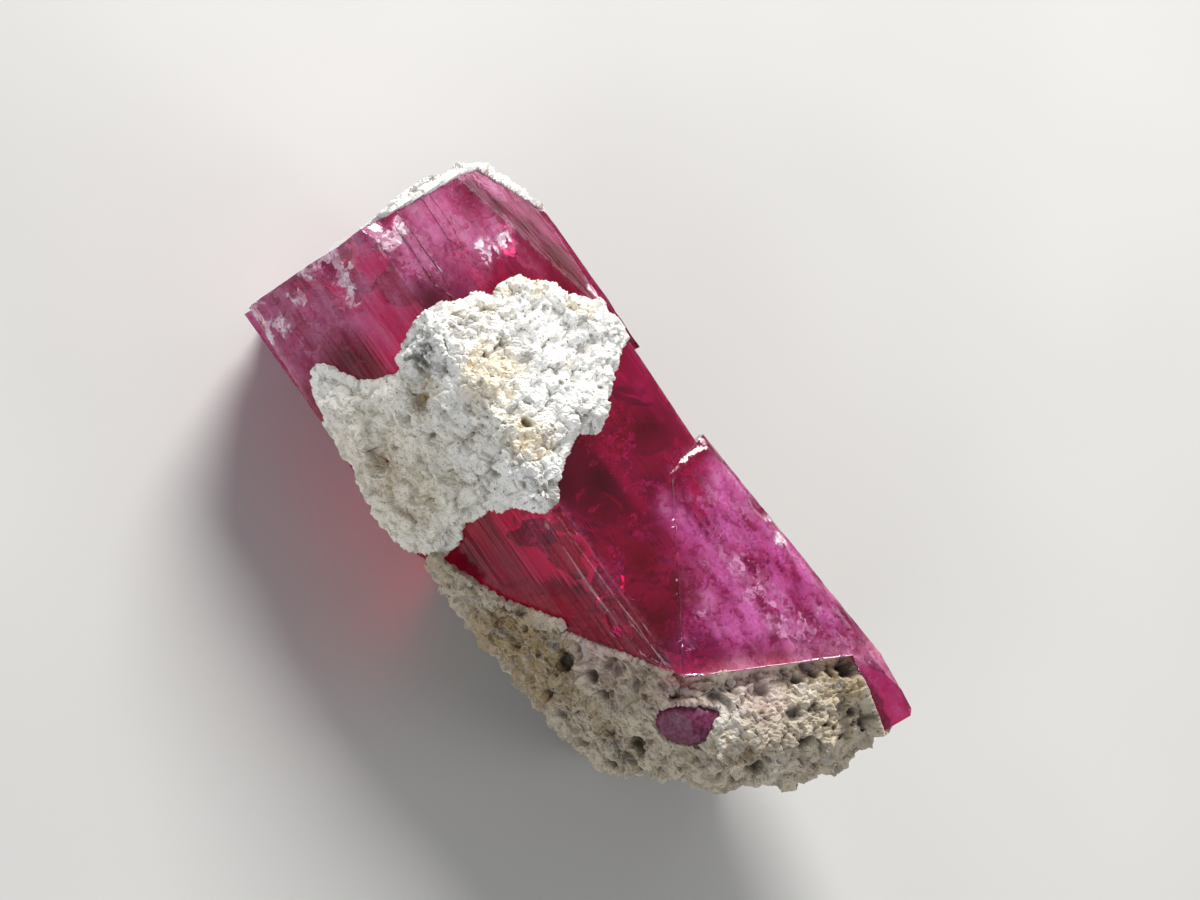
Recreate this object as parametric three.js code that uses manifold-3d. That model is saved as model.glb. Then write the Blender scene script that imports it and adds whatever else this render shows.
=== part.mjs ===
// A raw red beryl crystal, as it came out of the rhyolite that it grew in. It is a stubby six-sided
// prism with one grown end and one slanting break. Pale sugary rock still covers the break, a patch
// across the front ridge, and a corner of the grown end. The crystal lies on one of its prism faces.
// Millimetres, +Z up. The long axis runs along X, with the grown end at -X and the rock foot at +X.
// The origin is on the resting face, below the axis and half way along.
import * as THREE from 'three';
import { mergeVertices } from 'three/addons/utils/BufferGeometryUtils.js';
import Module from 'manifold-3d';

const wasm = await Module();
wasm.setup();

// Driving dimensions
const ACROSS_FLATS = 4.83; // between opposite prism faces
const GROWN_END = -5.42; // x of the flat grown end
const BREAK_AT_RIDGE = 2.81; // x where the break crosses the front ridge
const SPUR_END = 5.45; // x reached by the one wall of the crystal that outlived the break
const FOOT_END = 5.6; // x reached by the rock on the broken end
const LAYER = 0.07; // height of the growth layer that covers the upper face's far half
const PATCH_THICKNESS = 0.3; // of the rock crust over the ridge
const CROWN_THICKNESS = 0.17; // of the rock crust on the grown end
const SEAM = 0.03; // kept between rock and crystal, so that neighbours never overlap
const FOOT_LAP = 0.12; // how far the rock foot reaches over the crystal's broken edge
const FLOOR_CLEARANCE = 0.04; // the rock hangs clear of what the crystal rests on

const HALF = ACROSS_FLATS / 2;
const EDGE = HALF / Math.cos(Math.PI / 6); // from the axis to a prism edge, and a face's width
const LONG = new THREE.Vector3(1, 0, 0);

// A direction square to the long axis, turned from straight up towards the front (-Y).
function around(degrees) {
  const turn = THREE.MathUtils.degToRad(degrees);
  return new THREE.Vector3(0, -Math.sin(turn), Math.cos(turn));
}

// The front ridge points this way, and the faces on its two sides slope away to either side of it.
const OUT = around(30);
const ACROSS = around(-60);

// A point by its place along the axis, its distance to the far side of the ridge, and its height
// above the axis on the ridge's own side.
function at(x, across, out) {
  const point = new THREE.Vector3(x, 0, HALF);
  return point.addScaledVector(ACROSS, across).addScaledVector(OUT, out);
}

function direction(x, across, out) {
  return at(x, across, out).sub(at(0, 0, 0)).normalize();
}

// Repeatable noise
function chance(i, j, k, seed) {
  let n = Math.imul(i, 374761393) ^ Math.imul(j, 668265263) ^ Math.imul(k, 1274126177);
  n = Math.imul(n ^ (n >>> 13) ^ Math.imul(seed, 69069), 1103515245);
  n = Math.imul(n ^ (n >>> 16), 2246822519);
  return ((n ^ (n >>> 15)) >>> 0) / 4294967296;
}

// Smooth noise from -1 to 1 with bumps about `size` apart.
function bumps(point, size, seed) {
  const cell = point.clone().divideScalar(size).floor();
  const inside = point.clone().divideScalar(size).sub(cell);
  const ease = (t) => t * t * (3 - 2 * t);
  let sum = 0;
  for (let corner = 0; corner < 8; corner++) {
    const i = corner & 1;
    const j = (corner >> 1) & 1;
    const k = corner >> 2;
    const weight =
      (i ? ease(inside.x) : 1 - ease(inside.x)) *
      (j ? ease(inside.y) : 1 - ease(inside.y)) *
      (k ? ease(inside.z) : 1 - ease(inside.z));
    sum += weight * chance(cell.x + i, cell.y + j, cell.z + k, seed);
  }
  return 2 * sum - 1;
}

// Rounded lumps with creases between them: 1 on top of a lump, falling to 0 at its rim.
function lumps(point, size, seed) {
  const cell = point.clone().divideScalar(size).floor();
  let nearest = Infinity;
  for (let i = -1; i <= 1; i++) {
    for (let j = -1; j <= 1; j++) {
      for (let k = -1; k <= 1; k++) {
        const spot = cell.clone().add(new THREE.Vector3(i, j, k));
        const jitter = [0, 1, 2].map((axis) => chance(spot.x, spot.y, spot.z, seed + axis));
        spot.add(new THREE.Vector3(...jitter)).multiplyScalar(size);
        nearest = Math.min(nearest, spot.distanceTo(point));
      }
    }
  }
  return Math.sqrt(Math.max(0, 1 - (nearest / size) ** 2));
}

// Solids
function solid(geometry) {
  const bare = geometry.clone();
  bare.deleteAttribute('normal');
  bare.deleteAttribute('uv');
  const merged = mergeVertices(bare, 1e-4);
  return new wasm.Manifold(
    new wasm.Mesh({
      numProp: 3,
      vertProperties: merged.attributes.position.array,
      triVerts: new Uint32Array(merged.index.array),
    }),
  );
}

function largest(body) {
  return body.decompose().reduce((best, part) => (part.volume() > best.volume() ? part : best));
}

function geometryOf(body) {
  const mesh = body.getMesh();
  const geometry = new THREE.BufferGeometry();
  geometry.setAttribute('position', new THREE.BufferAttribute(mesh.vertProperties, 3));
  geometry.setIndex(new THREE.BufferAttribute(mesh.triVerts, 1));
  const faceted = geometry.toNonIndexed();
  faceted.computeVertexNormals();
  return faceted;
}

// Cuts away all that lies in front of the plane through `point` that faces along `normal`.
function trim(body, normal, point) {
  const size = 40;
  const facing = new THREE.Quaternion().setFromUnitVectors(
    new THREE.Vector3(0, 0, 1),
    normal.clone().normalize(),
  );
  const block = new THREE.BoxGeometry(size, size, size)
    .translate(0, 0, size / 2)
    .applyQuaternion(facing)
    .translate(point.x, point.y, point.z);
  return body.subtract(solid(block));
}

// The prism. Each face is given by its turn about the axis, its distance from the axis at the
// middle of the crystal, and how much that distance grows for each millimetre towards +X.
const UPPER_FACES = [
  { turn: 0, out: HALF, lean: 0 },
  { turn: 60, out: HALF, lean: 0.004 },
  { turn: 120, out: 2.46, lean: 0.043 },
  { turn: 180, out: HALF, lean: 0 },
  { turn: 240, out: 2.37, lean: 0.006 },
  { turn: 300, out: 2.25, lean: -0.028 },
  { turn: 330, out: 3.0, lean: 0.13 },
  { turn: 90, out: 2.76, lean: 0.02 },
  { turn: 210, out: 2.7, lean: 0 },
];
// Past a step half way along, a later growth layer makes the far upper side a little thicker.
const LAYERED_FACES = [
  { turn: 0, out: HALF + LAYER, lean: 0 },
  { turn: 60, out: HALF, lean: 0.004 },
  { turn: 120, out: 2.46, lean: 0.02 },
  { turn: 180, out: HALF, lean: 0 },
  { turn: 240, out: 2.37, lean: 0.006 },
  { turn: 300, out: 2.4, lean: 0.07 },
  { turn: 330, out: 2.78, lean: 0.03 },
];

function prism(faces, grow) {
  let body = solid(new THREE.BoxGeometry(14, 9, 9).translate(0, 0, HALF));
  for (const { turn, out, lean } of faces) {
    const normal = around(turn);
    const point = new THREE.Vector3(0, 0, HALF).addScaledVector(normal, out + grow);
    body = trim(body, normal.addScaledVector(LONG, -lean), point);
  }
  return body;
}

// A low terrace on a prism face. Its outline runs along x, and across the face from the face's
// middle line; it is sunk into the crystal, so that only `height` of it shows.
function terrace(turn, faceOut, height, outline) {
  const sunk = 0.3;
  const shape = new THREE.Shape(outline.map(([x, s]) => new THREE.Vector2(x, s)));
  const raised = new THREE.ExtrudeGeometry(shape, { depth: sunk + height, bevelEnabled: false });
  const normal = around(turn);
  const sideways = normal.clone().cross(LONG);
  const place = new THREE.Matrix4().makeBasis(LONG, sideways, normal);
  place.setPosition(new THREE.Vector3(0, 0, HALF).addScaledVector(normal, faceOut - sunk));
  return solid(raised.applyMatrix4(place));
}

// Growth terraces: the face's turn, its distance from the axis there, the height and the outline.
const TERRACES = [
  [0, HALF, 0.045, [[-5.6, -0.95], [-4.1, -0.98], [-3.75, -0.86], [-4.2, -0.74], [-5.6, -0.78]]],
  [0, HALF, 0.035, [[-5.6, -0.3], [-4.55, -0.34], [-4.3, -0.22], [-4.7, -0.12], [-5.6, -0.14]]],
  [60, HALF, 0.03, [[-0.3, 1.2], [2.6, 1.28], [2.2, 1.02], [0.9, 0.94], [-0.2, 1.02]]],
  [120, 2.3, 0.06, [[-5.6, -0.7], [-2.6, -0.9], [-1.7, -0.35], [-2.2, 0.5], [-5.6, 0.75]]],
  [240, 2.37, 0.06, [[-4.6, -1.0], [-1.1, -1.1], [0.6, -0.4], [-0.4, 0.6], [-4.1, 0.8]]],
  [240, 2.43, 0.05, [[-3.6, -0.6], [-1.4, -0.7], [-0.8, -0.2], [-1.9, 0.3], [-3.4, 0.4]]],
  [300, 2.36, 0.05, [[-5.0, -0.8], [-2.4, -0.9], [-1.6, -0.2], [-2.6, 0.5], [-4.8, 0.6]]],
];

// The grown end is nearly square to the axis, and a slanting face takes off its far corner.
const END_FACE = { normal: direction(-1, 0.064, 0), point: at(GROWN_END, 0, 0) };
const CORNER_FACE = { normal: direction(-0.46, 0.88, -0.12), point: at(-4.97, 1.87, 0) };
// The break is two planes that meet at the ridge, and a chip where it reaches the near side.
const BREAKS = [
  { normal: direction(1, -1.36, -0.1), point: at(BREAK_AT_RIDGE, 0, EDGE) },
  { normal: direction(1, -0.8, -0.4), point: at(BREAK_AT_RIDGE, 0, EDGE) },
  { normal: direction(0.37, -0.93, 0.05), point: at(-0.7, -2.25, 0) },
];

function cutBy(body, planes, grow) {
  for (const { normal, point } of planes) {
    body = trim(body, normal, point.clone().addScaledVector(normal, grow));
  }
  return body;
}

function layeredHalf(grow) {
  const step = { normal: direction(-0.97, -0.235, 0), point: at(0.06, 2.39, 0) };
  const slope = { normal: direction(-0.535, -0.845, 0), point: at(0.34, 1.62, 0) };
  return cutBy(prism(LAYERED_FACES, grow), [step, slope], grow);
}

// The wall of the crystal on the far side that runs on past the break, to a blunt tip.
function spur(grow) {
  const planes = [
    { normal: direction(-0.2, -0.97, 0.1), point: at(4.2, 2.28, 1.4) },
    { normal: direction(1, -0.08, 0), point: at(SPUR_END, 2.3, 0) },
    { normal: direction(0.11, 1, 0), point: at(4.3, 2.72, 0) },
    { normal: direction(0.7, 0.7, 0.1), point: at(SPUR_END, 2.7, 0) },
    { normal: direction(0.25, 0, -1), point: at(4.2, 2.2, -0.9) },
    { normal: direction(0.3, 0, 1), point: at(5.0, 2.2, 1.3) },
  ];
  return cutBy(layeredHalf(grow), planes, grow);
}

// A knob of the broken end that shows through the rock, and the stalk that it stands on. Both are
// balls flattened towards the ridge and turned about the way out of it.
const KNOB_TURN = THREE.MathUtils.degToRad(55);

function knob(grow) {
  const lump = (x, across, out, radii) => {
    const place = at(x, across, out);
    const ball = new THREE.IcosahedronGeometry(1, 1);
    ball.scale(radii[0] + grow, radii[1] + grow, radii[2] + grow);
    ball.rotateZ(KNOB_TURN).rotateX(THREE.MathUtils.degToRad(30));
    return solid(ball.translate(place.x, place.y, place.z));
  };
  return lump(3.45, -0.27, 2.22, [0.57, 0.42, 0.42]).add(lump(2.8, -0.1, 1.75, [0.42, 0.75, 0.42]));
}

function crystalBody(grow) {
  let body = prism(UPPER_FACES, grow).add(layeredHalf(grow));
  for (const [turn, out, height, outline] of TERRACES) {
    body = body.add(terrace(turn, out, height + grow, outline));
  }
  body = cutBy(body, [END_FACE, CORNER_FACE, ...BREAKS], grow);
  return body.add(spur(grow)).add(knob(grow));
}

// A shallow shell-shaped chip, as glassy minerals break: a ball that dips `depth` into the crystal.
function chip(x, across, out, radius, depth) {
  const ball = new THREE.IcosahedronGeometry(radius, 4);
  const inwards = direction(0, across, out);
  const place = at(x, across, out).addScaledVector(inwards, radius - depth);
  return solid(ball.translate(place.x, place.y, place.z));
}

const CHIPS = [
  [-5.45, -0.75, 2.35, 0.75, 0.16],
  [-5.5, 0.35, 2.6, 0.55, 0.14],
  [-5.35, -2.25, 1.35, 0.5, 0.1],
  [1.45, 2.47, 1.42, 0.6, 0.07],
  [2.3, 2.5, 1.42, 0.45, 0.05],
  [-3.0, 2.3, -1.3, 0.7, 0.12],
  [0.7, 0.05, -2.75, 0.8, 0.08],
];

// Flat-floored pits on the grown end and a face, like those that hot fluids etch along the lattice.
function etchPit(point, normal, radius, depth) {
  const pit = new THREE.CylinderGeometry(radius, radius * 0.6, depth * 2, 6).rotateX(Math.PI / 2);
  const facing = new THREE.Quaternion().setFromUnitVectors(new THREE.Vector3(0, 0, 1), normal);
  return solid(pit.applyQuaternion(facing).translate(point.x, point.y, point.z));
}

function crystal() {
  let body = crystalBody(0);
  for (const [x, across, out, radius, depth] of CHIPS) {
    body = body.subtract(chip(x, across, out, radius, depth));
  }
  const endwards = END_FACE.normal;
  for (const [across, out, radius] of [[-1.2, -0.6, 0.16], [-0.5, -1.4, 0.12], [-1.6, 0.6, 0.1]]) {
    const point = at(GROWN_END - 0.064 * across, across, out);
    body = body.subtract(etchPit(point, endwards, radius, 0.07));
  }
  return largest(body);
}

// A closed block over a grid: `place(column, row, top)` gives its upper and lower points.
function blockOf(columns, rows, place) {
  const points = [];
  const faces = [];
  const index = (i, j, top) => (top * (rows + 1) + j) * (columns + 1) + i;
  const quad = (a, b, c, d) => faces.push(a, b, c, a, c, d);
  for (let top = 0; top < 2; top++) {
    for (let j = 0; j <= rows; j++) {
      for (let i = 0; i <= columns; i++) {
        points.push(...place(i / columns, j / rows, top === 1).toArray());
      }
    }
  }
  for (let j = 0; j < rows; j++) {
    for (let i = 0; i < columns; i++) {
      quad(index(i, j, 1), index(i + 1, j, 1), index(i + 1, j + 1, 1), index(i, j + 1, 1));
      quad(index(i, j, 0), index(i, j + 1, 0), index(i + 1, j + 1, 0), index(i + 1, j, 0));
    }
    quad(index(0, j, 0), index(0, j, 1), index(0, j + 1, 1), index(0, j + 1, 0));
    quad(index(columns, j, 0), index(columns, j + 1, 0), index(columns, j + 1, 1), index(columns, j, 1));
  }
  for (let i = 0; i < columns; i++) {
    quad(index(i, 0, 0), index(i + 1, 0, 0), index(i + 1, 0, 1), index(i, 0, 1));
    quad(index(i, rows, 0), index(i, rows, 1), index(i + 1, rows, 1), index(i + 1, rows, 0));
  }
  const geometry = new THREE.BufferGeometry();
  geometry.setAttribute('position', new THREE.Float32BufferAttribute(points, 3));
  geometry.setIndex(faces);
  return solid(geometry);
}

// How far a point lies inside an outline; negative outside it.
function depthInside(outline, x, y) {
  let inside = false;
  let nearest = Infinity;
  outline.forEach(([ax, ay], i) => {
    const [bx, by] = outline[(i + 1) % outline.length];
    const along = (x - ax) * (bx - ax) + (y - ay) * (by - ay);
    const t = THREE.MathUtils.clamp(along / ((bx - ax) ** 2 + (by - ay) ** 2), 0, 1);
    nearest = Math.min(nearest, Math.hypot(x - ax - t * (bx - ax), y - ay - t * (by - ay)));
    if (ay > y !== by > y && x < ax + ((y - ay) * (bx - ax)) / (by - ay)) inside = !inside;
  });
  return inside ? nearest : -nearest;
}

// A point on the prism's skin by its distance from the front ridge, measured round the crystal:
// positive over the upper face, negative over the front one. The way up turns smoothly at an edge.
function skin(x, girth, height) {
  const beside = Math.round(girth / EDGE - 0.5);
  const turn = -60 * beside;
  const sideways = around(turn).cross(LONG);
  const point = new THREE.Vector3(x, 0, HALF)
    .addScaledVector(around(turn), HALF)
    .addScaledVector(sideways, girth - (beside + 0.5) * EDGE);
  const blend = 0.45;
  const near = girth / EDGE - Math.round(girth / EDGE);
  const lean = 30 * (1 - Math.min(1, (Math.abs(near) * EDGE) / blend)) * Math.sign(near);
  return point.addScaledVector(around(turn + lean), height);
}

// The patch's outline: x, and the distance round the crystal from the front ridge.
const PATCH_OUTLINE = [
  [-4.28, -2.1], [-3.78, -2.46], [-3.06, -2.6], [-2.2, -2.68], [-1.4, -2.78], [-1.0, -2.6],
  [-0.68, -2.2], [-0.72, -1.98], [-0.97, -1.62], [-0.85, -0.97], [-0.66, -0.58], [-0.42, -0.3],
  [-0.43, -0.06], [-0.66, 0.24], [-0.88, 0.6], [-1.05, 0.98], [-0.9, 1.2], [-1.06, 1.52],
  [-1.42, 1.95], [-1.7, 2.28], [-1.82, 2.62], [-2.1, 2.72], [-2.5, 2.52], [-3.02, 2.12],
  [-3.3, 1.9], [-3.52, 1.72], [-3.5, 1.1], [-3.76, 0.9], [-3.6, 0.66], [-3.83, 0.4],
  [-3.85, -0.06], [-3.6, -0.62], [-3.32, -0.96], [-3.44, -1.3], [-3.6, -1.62], [-3.88, -1.84],
];

function patch() {
  const spacing = 0.125;
  const [low, high] = [new THREE.Vector2(-4.5, -3.3), new THREE.Vector2(-0.2, 3.1)];
  const columns = Math.round((high.x - low.x) / spacing);
  const rows = Math.round((high.y - low.y) / spacing);
  const rim = 0.22; // over this width the crust rises from nothing to its thickness
  const block = blockOf(columns, rows, (s, t, top) => {
    const x = THREE.MathUtils.lerp(low.x, high.x, s);
    const girth = THREE.MathUtils.lerp(low.y, high.y, t);
    if (!top) return skin(x, girth, -0.35);
    const spot = new THREE.Vector3(x, girth, 0);
    const inside = depthInside(PATCH_OUTLINE, x, girth) + 0.06 * bumps(spot, 0.22, 7);
    if (inside <= 0) return skin(x, girth, Math.max(-0.2, 3 * inside));
    const rise = Math.sqrt(Math.min(1, inside / rim));
    const swell = 0.6 + 0.4 * bumps(spot, 0.9, 3) + 0.5 * lumps(spot, 0.42, 11);
    const pit = Math.max(0, lumps(spot, 0.75, 23) - 0.9) * 1.6;
    return skin(x, girth, PATCH_THICKNESS * rise * swell - pit);
  });
  return largest(block.subtract(crystalBody(SEAM)));
}

// Corner of the grown end that the crown of rock covers: across and out from the axis.
const CROWN_OUTLINE = [
  [0.35, 2.75], [0.15, 1.9], [-0.35, 1.4], [-0.2, 0.6], [0.4, 0.1], [0.75, -0.7], [1.35, -1.0],
  [1.9, -0.5], [2.35, -0.2], [2.6, 0.5], [2.5, 1.5], [1.6, 2.3],
];

function crown() {
  const spacing = 0.16;
  const [low, high] = [new THREE.Vector2(-1.25, -0.6), new THREE.Vector2(2.7, 2.5)];
  const columns = Math.round((high.x - low.x) / spacing);
  const rows = Math.round((high.y - low.y) / spacing);
  const onPlane = ({ normal, point }, across, out) => {
    const here = at(0, across, out);
    return point.clone().sub(here).dot(normal) / normal.x;
  };
  const block = blockOf(columns, rows, (s, t, top) => {
    const out = THREE.MathUtils.lerp(low.x, high.x, s);
    const across = THREE.MathUtils.lerp(low.y, high.y, t);
    const steep = onPlane(CORNER_FACE, across, out);
    const flat = onPlane(END_FACE, across, out);
    const x = Math.max(flat, steep);
    if (!top) return at(x + 0.5, across, out);
    const spot = new THREE.Vector3(across, out, x);
    const inside = depthInside(CROWN_OUTLINE, across, out) + 0.07 * bumps(spot, 0.25, 5);
    if (inside <= 0) return at(x + Math.min(0.3, -2 * inside), across, out);
    // Measured along x, the same crust is thicker where it lies on the slanting corner face.
    const slant = 1 + 1.8 * THREE.MathUtils.smoothstep(steep - flat, 0, 0.4);
    const rise = Math.sqrt(Math.min(1, inside / 0.3)) * slant;
    const swell = 0.6 + 0.25 * bumps(spot, 0.8, 13) + 0.45 * lumps(spot, 0.4, 17);
    return at(x - CROWN_THICKNESS * rise * swell, across, out);
  });
  // The crust ends just short of the prism's own side faces.
  const envelope = prism(UPPER_FACES, -0.02);
  return largest(block.intersect(envelope).subtract(crystalBody(SEAM)));
}

// The foot: rock that fills the place of the crystal's missing end. It is a rounded block, whose
// sides are given by a facing and a distance from its middle.
const FOOT_MIDDLE = { x: 2.7, across: 0, out: 0 };
const FOOT_SIDES = [
  [direction(0, 0, 1), 2.75],
  [direction(0.1, -0.5, 0.866), 2.34],
  [direction(-0.02, 0.5, 0.866), 2.36],
  [direction(0.05, -1, 0), 2.1],
  [direction(0.71, -0.7, 0.05), 1.85],
  [direction(0.02, 1, 0), 2.3],
  [direction(0.05, -0.5, -0.866), 2.4],
  [direction(0.1, 0.5, -0.866), 2.3],
  [direction(1, 0.05, 0), FOOT_END - FOOT_MIDDLE.x + 0.12],
  [direction(0.8, 0.1, -0.6), 2.95],
  [direction(0.8, 0, 0.6), 3.05],
  [direction(-1, 0, 0), 3.6],
];

function foot() {
  const middle = at(FOOT_MIDDLE.x, FOOT_MIDDLE.across, FOOT_MIDDLE.out);
  const ball = new THREE.IcosahedronGeometry(1, 13);
  const places = ball.getAttribute('position');
  const roundness = 16; // the higher, the sharper the block's edges
  const facing = new THREE.Vector3();
  for (let i = 0; i < places.count; i++) {
    facing.fromBufferAttribute(places, i).normalize();
    let sum = 0;
    for (const [normal, distance] of FOOT_SIDES) {
      sum += Math.max(0, facing.dot(normal) / distance) ** roundness;
    }
    const smooth = facing.clone().multiplyScalar(sum ** (-1 / roundness));
    const swell = 0.1 * bumps(smooth, 1.1, 31) + 0.16 * lumps(smooth, 0.62, 37) - 0.1;
    const pit = Math.max(0, lumps(smooth, 0.85, 41) - 0.86) * 2.2;
    const point = smooth.addScaledVector(facing, swell - pit).add(middle);
    places.setXYZ(i, point.x, point.y, point.z);
  }
  let body = solid(ball);
  body = trim(body, around(180), new THREE.Vector3(0, 0, FLOOR_CLEARANCE));
  body = trim(body, LONG, new THREE.Vector3(FOOT_END, 0, 0));
  // Rock stands where the crystal is missing, and laps over its broken edge by a little.
  const unbroken = cutBy(solid(new THREE.BoxGeometry(20, 20, 20)), BREAKS, -FOOT_LAP);
  return largest(body.subtract(unbroken).subtract(crystalBody(SEAM)));
}

// Finishes
const BERYL = new THREE.MeshStandardMaterial({ color: 0x9c1545, roughness: 0.15, metalness: 0 });
const WHITE_ROCK = new THREE.MeshStandardMaterial({ color: 0xe9e4d8, roughness: 0.95, metalness: 0 });
const GREY_ROCK = new THREE.MeshStandardMaterial({ color: 0xb9ab9b, roughness: 0.95, metalness: 0 });

function piece(name, body, material) {
  const mesh = new THREE.Mesh(geometryOf(body), material);
  mesh.name = name;
  return mesh;
}

const specimen = new THREE.Group();
specimen.add(piece('beryl_crystal', crystal(), BERYL));
specimen.add(piece('rock_patch', patch(), WHITE_ROCK));
specimen.add(piece('rock_crown', crown(), WHITE_ROCK));
specimen.add(piece('rock_foot', foot(), GREY_ROCK));

export default specimen;
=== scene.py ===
# %% [markdown]
# # A raw red beryl crystal
# A stubby six-sided prism of raspberry red beryl, 11 mm long, with the pale rock that it grew in still
# on its front ridge, on a corner of its grown end, and in place of its broken end.
#
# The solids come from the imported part. They have the real size and the flat faces. Here they get what
# solids of a few thousand triangles can't hold: sugar-like rock grains, growth lines, clear and cloudy
# zones in the beryl, and the fractures inside it.

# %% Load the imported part
import math

import bmesh
import bpy
import numpy as np
from mathutils import Matrix, Vector
from mathutils.bvhtree import BVHTree
from mathutils.kdtree import KDTree


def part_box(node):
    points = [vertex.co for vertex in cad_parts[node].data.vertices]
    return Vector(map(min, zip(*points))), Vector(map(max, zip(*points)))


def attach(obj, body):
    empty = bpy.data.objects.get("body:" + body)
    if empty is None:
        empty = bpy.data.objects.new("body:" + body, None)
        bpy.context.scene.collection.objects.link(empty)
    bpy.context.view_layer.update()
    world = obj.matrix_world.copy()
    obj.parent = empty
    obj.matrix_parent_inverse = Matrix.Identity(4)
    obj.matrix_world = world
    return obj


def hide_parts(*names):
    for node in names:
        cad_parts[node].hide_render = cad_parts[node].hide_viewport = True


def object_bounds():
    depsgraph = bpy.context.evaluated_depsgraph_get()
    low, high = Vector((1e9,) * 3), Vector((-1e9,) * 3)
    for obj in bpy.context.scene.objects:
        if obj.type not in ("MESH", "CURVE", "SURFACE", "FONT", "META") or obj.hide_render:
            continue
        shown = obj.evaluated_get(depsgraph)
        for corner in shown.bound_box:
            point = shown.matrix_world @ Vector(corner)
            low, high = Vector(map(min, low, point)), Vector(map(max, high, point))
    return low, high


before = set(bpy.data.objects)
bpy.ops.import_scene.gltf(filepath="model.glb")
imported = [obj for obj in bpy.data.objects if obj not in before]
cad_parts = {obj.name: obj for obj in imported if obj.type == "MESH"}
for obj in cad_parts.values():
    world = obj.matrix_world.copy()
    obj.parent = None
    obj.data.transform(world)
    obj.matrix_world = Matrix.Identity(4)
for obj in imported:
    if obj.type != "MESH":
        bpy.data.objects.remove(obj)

CAD_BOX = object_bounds()
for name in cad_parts:
    lowest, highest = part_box(name)
    print(name, "is", [round(1000 * side, 2) for side in highest - lowest], "mm")

# %% [markdown]
# ## Places on the crystal
# Everything below is thought out in millimetres, because the whole thing is smaller than a coin. Only
# finished meshes are scaled to metres. Places are given in the crystal's own directions: along its
# axis, across the front ridge, and outwards from the axis through that ridge.

# %% The crystal's own directions
MM = 0.001
GROWTH_LAYER = 0.07  # mm, the height of the growth step on the upper face
HALF = (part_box("beryl_crystal")[1].z / MM - GROWTH_LAYER) / 2  # mm, from the axis to a prism face
EDGE = HALF / math.cos(math.radians(30))  # mm, from the axis to a prism edge
LONG = Vector((1, 0, 0))


def around(degrees):
    """A direction square to the axis, turned from straight up towards the front."""
    turn = math.radians(degrees)
    return Vector((0, -math.sin(turn), math.cos(turn)))


OUT = around(30)
ACROSS = around(-60)
AXES = np.array([LONG, ACROSS, OUT])


def at(x, across, out):
    """A point in mm, from its place along, across and outwards."""
    return Vector((x, 0, HALF)) + ACROSS * across + OUT * out


def own_places(points):
    """Along, across and outwards, for an array of points in mm."""
    return (points - np.array([0, 0, HALF])) @ AXES.T


print("across the faces", round(2 * HALF, 2), "mm, across the edges", round(2 * EDGE, 2), "mm")

# %% [markdown]
# ## The camera
# The photograph looks straight at the front ridge, with the crystal slanting from the upper left to
# the lower right. The crystal lies on its side here, so the camera looks down along the same line and
# is rolled by the same slant. It is a long lens, as for close-up work, and keeps everything sharp.

# %% Camera
PHOTO_SIZE = (1200, 900)  # pixels
PIXEL = 0.01505  # mm of the object for each pixel of the photograph, on the front surface
AIM = (-0.65, 0.957, 2.4)  # the spot in the middle of the picture: along, across, outwards
CAMERA_DISTANCE = 50  # mm from the front surface
SLANT = math.atan2(0.818, 0.576)  # of the crystal's axis in the picture, below the horizontal

picture_right = (LONG * math.cos(SLANT) + ACROSS * math.sin(SLANT)).normalized()
picture_up = OUT.cross(picture_right)
camera_place = at(*AIM) + OUT * CAMERA_DISTANCE

camera_data = bpy.data.cameras.new("camera")
camera_data.lens = camera_data.sensor_width * CAMERA_DISTANCE / (PHOTO_SIZE[0] * PIXEL)
camera_data.clip_start = 2 * MM
camera_data.clip_end = 5
camera = bpy.data.objects.new("camera", camera_data)
turn = Matrix((picture_right, picture_up, OUT)).transposed().to_4x4()
camera.matrix_world = Matrix.Translation(camera_place * MM) @ turn
bpy.context.scene.collection.objects.link(camera)
bpy.context.scene.camera = camera
print("lens", round(camera_data.lens, 1), "mm")

# %% [markdown]
# A mark on the crystal is placed by the pixel at which the photograph shows it. A ray through that
# pixel finds the point on the solid, so that the mark sits on its face from any side.

# %% From a pixel to the crystal


def mesh_in_mm(node):
    """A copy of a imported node's mesh, in mm, with its split corners joined again."""
    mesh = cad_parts[node].data.copy()
    mesh.transform(Matrix.Scale(1 / MM, 4))
    joined = bmesh.new()
    joined.from_mesh(mesh)
    bmesh.ops.remove_doubles(joined, verts=joined.verts, dist=1e-4)
    joined.to_mesh(mesh)
    joined.free()
    return mesh


CRYSTAL = mesh_in_mm("beryl_crystal")
CRYSTAL_FACES = [tuple(p.vertices) for p in CRYSTAL.polygons]
CRYSTAL_TREE = BVHTree.FromPolygons([v.co for v in CRYSTAL.vertices], CRYSTAL_FACES)


def under(pixel, depth):
    """The point that lies `depth` mm below the crystal's surface at a pixel, and the way out."""
    sideways = (pixel[0] - PHOTO_SIZE[0] / 2) * PIXEL
    upwards = (PHOTO_SIZE[1] / 2 - pixel[1]) * PIXEL
    seen = at(*AIM) + picture_right * sideways + picture_up * upwards
    ray = (seen - camera_place).normalized()
    place, normal, _, _ = CRYSTAL_TREE.ray_cast(camera_place, ray)
    if place is None:
        place, normal = seen, OUT
    return place - normal * depth, normal


print("the ridge's broken tip is at", [round(c, 2) for c in under((684, 668), 0)[0]])

# %% [markdown]
# ## The stage
# A pale floor and soft light, so that the crystal's own colour shows. A red crystal looks black where
# nothing bright lies behind it, so a broad key lamp is helped by three faint ones: from the front, for
# the shaded side of the rock, from beyond the foot, and from behind, so that light also comes through
# the crystal. The lamps keep clear of the one direction that would mirror in the upper face.

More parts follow.
